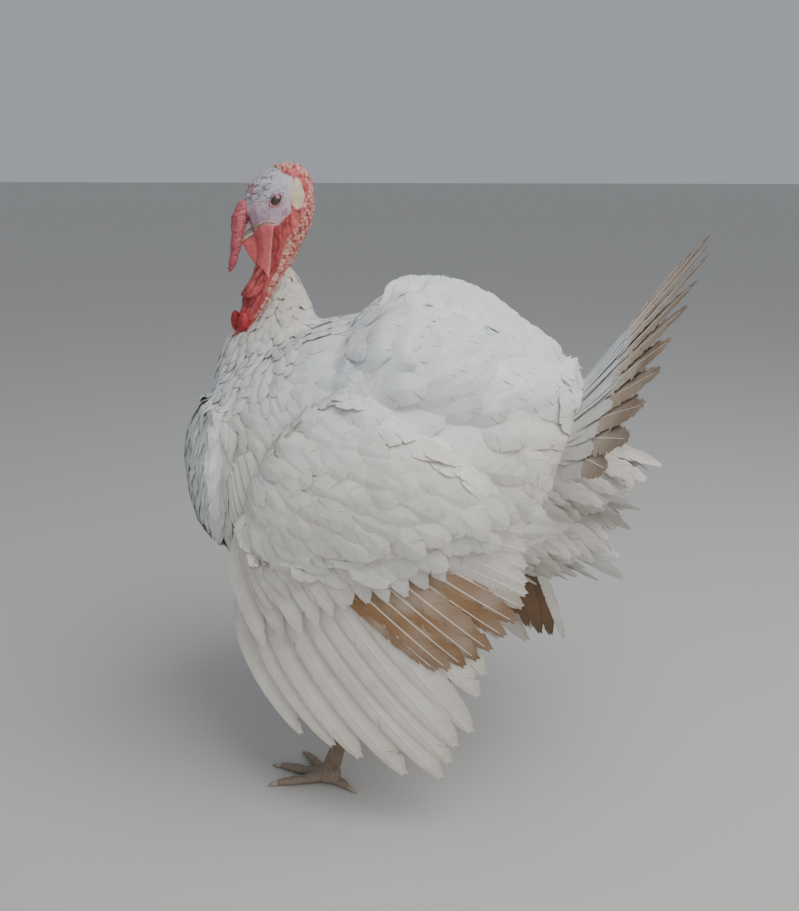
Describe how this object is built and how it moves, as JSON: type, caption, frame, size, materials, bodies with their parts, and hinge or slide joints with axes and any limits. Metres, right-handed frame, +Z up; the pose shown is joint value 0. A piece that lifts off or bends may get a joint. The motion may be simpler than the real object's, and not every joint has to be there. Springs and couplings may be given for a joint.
{
  "type": "domestic turkey",
  "caption": "White domestic turkey tom in half strut, back feathers raised, tail partly fanned and cocked, wings lowered, standing on both feet, at life size.",
  "frame": {"origin": "On the floor, under the middle of the bird's overall length and width.", "axes": "+Z up; the bird faces -X; its left side faces -Y."},
  "size_m": [0.552, 0.3804, 0.7083],
  "materials": {
    "feather_white": "white contour and flight feathers, matt, cool in the light and cream in the shade",
    "feather_stained": "white feathers stained brown by soil, with pale shafts",
    "head_skin": "bare wrinkled skin, bluish white on the crown, lilac on the cheek, red down the neck",
    "eye_brown": "wet dark brown eye",
    "bill_horn": "pale horn, satin",
    "red_skin": "soft red skin with fine pores, satin",
    "leg_skin": "grey-brown scaled skin with dry soil on it",
    "claw_horn": "pale blunt horn"
  },
  "bodies": {
    "root": {"trunk": "feather_white", "mantle": "feather_white", "neck": "feather_white", "breast": "feather_white", "primaries_left": "feather_white", "primaries_right": "feather_white", "wing_coverts_left": "feather_white", "wing_coverts_right": "feather_white", "shoulder_left": "feather_white", "shoulder_right": "feather_white", "tail": "feather_white", "tail_coverts": "feather_white", "undertail": "feather_white", "vent": "feather_white", "thigh_left": "feather_white", "thigh_right": "feather_white", "secondaries_left": "feather_stained", "secondaries_right": "feather_stained", "head": "head_skin", "eye_left": "eye_brown", "eye_right": "eye_brown", "bill_upper": "bill_horn", "bill_lower": "bill_horn", "snood": "red_skin", "dewlap": "red_skin", "caruncle_front": "red_skin", "caruncle_left": "red_skin", "caruncle_right": "red_skin", "shank_left": "leg_skin", "shank_right": "leg_skin", "foot_left": "leg_skin", "foot_right": "leg_skin", "spur_left": "claw_horn", "spur_right": "claw_horn", "claw_outer_left": "claw_horn", "claw_middle_left": "claw_horn", "claw_inner_left": "claw_horn", "claw_hind_left": "claw_horn", "claw_outer_right": "claw_horn", "claw_middle_right": "claw_horn", "claw_inner_right": "claw_horn", "claw_hind_right": "claw_horn"}
  },
  "joints": []
}
